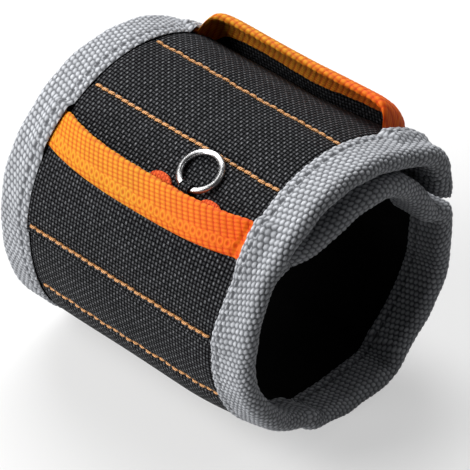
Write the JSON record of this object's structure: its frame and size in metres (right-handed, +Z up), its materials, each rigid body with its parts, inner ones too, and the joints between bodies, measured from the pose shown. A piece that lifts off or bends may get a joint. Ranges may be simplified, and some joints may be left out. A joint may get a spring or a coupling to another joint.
{
  "type": "magnetic wristband",
  "caption": "Wrap-around tool wristband of black quilted cloth with grey edge binding, sewn-in magnets, taped pockets and a metal ring.",
  "frame": {"origin": "on the table, under the middle of the band's box", "axes": "+Z up; +Y along the axis of the loop, from its near mouth to its far one; +X towards the wall that the flap's tip closes on"},
  "size_m": [0.0836, 0.09, 0.0853],
  "materials": {
    "ballistic_cloth": "coarse plain weave, matt with a dull nylon gleam",
    "lining_cloth": "soft black mesh, matt",
    "foam": "closed-cell padding, matt",
    "grey_tape": "folded knotted binding tape, matt",
    "orange_tape": "ribbed woven tape, soft gleam",
    "red_tape": "narrow woven tape, soft gleam",
    "hook_tape": "fine moulded hooks, dull",
    "loop_tape": "brushed loops, matt",
    "magnet_nickel": "satin nickel plating",
    "ring_chrome": "polished wire"
  },
  "bodies": {
    "base": {"shell_base": "ballistic_cloth", "core_base": "foam", "lining_base": "lining_cloth", "binding_near_base": "grey_tape", "binding_far_base": "grey_tape", "magnet_4_1": "magnet_nickel", "magnet_4_2": "magnet_nickel", "magnet_4_3": "magnet_nickel", "magnet_5_1": "magnet_nickel", "magnet_5_2": "magnet_nickel", "magnet_5_3": "magnet_nickel"},
    "flap": {"shell_flap": "ballistic_cloth", "core_flap": "foam", "lining_flap": "lining_cloth", "binding_near_flap": "grey_tape", "binding_far_flap": "grey_tape", "magnet_1_1": "magnet_nickel", "magnet_1_2": "magnet_nickel", "magnet_1_3": "magnet_nickel", "magnet_2_1": "magnet_nickel", "magnet_2_2": "magnet_nickel", "magnet_2_3": "magnet_nickel", "magnet_3_1": "magnet_nickel", "magnet_3_2": "magnet_nickel", "magnet_3_3": "magnet_nickel", "binding_tip": "grey_tape", "pocket_panel_side": "ballistic_cloth", "pocket_tape_side": "orange_tape", "pocket_panel_flap": "ballistic_cloth", "pocket_tape_flap": "orange_tape", "hook_patch": "hook_tape", "ring_tab": "red_tape"},
    "wall": {"shell_wall": "ballistic_cloth", "core_wall": "foam", "lining_wall": "lining_cloth", "binding_near_wall": "grey_tape", "binding_far_wall": "grey_tape", "binding_inner_end": "grey_tape", "loop_patch": "loop_tape"},
    "ring": {"ring": "ring_chrome"}
  },
  "joints": [
    {"name": "flap_lift", "type": "hinge", "parent": "base", "child": "flap", "pos_m": [-0.0419, 0, 0.04957], "axis": [0, -1, 0], "range_deg": [0, 90]},
    {"name": "wall_swing", "type": "hinge", "parent": "base", "child": "wall", "pos_m": [0.03711, 0, 0.018], "axis": [0, 1, 0], "range_deg": [0, 40.5]},
    {"name": "ring_swing", "type": "hinge", "parent": "flap", "child": "ring", "pos_m": [-0.02709, -0.0115, 0.07821], "axis": [0, -1, 0], "range_deg": [0, 95]}
  ],
  "couplings": [
    {"joint": "wall_swing", "follows": "flap_lift", "ratio": 0.45}
  ]
}
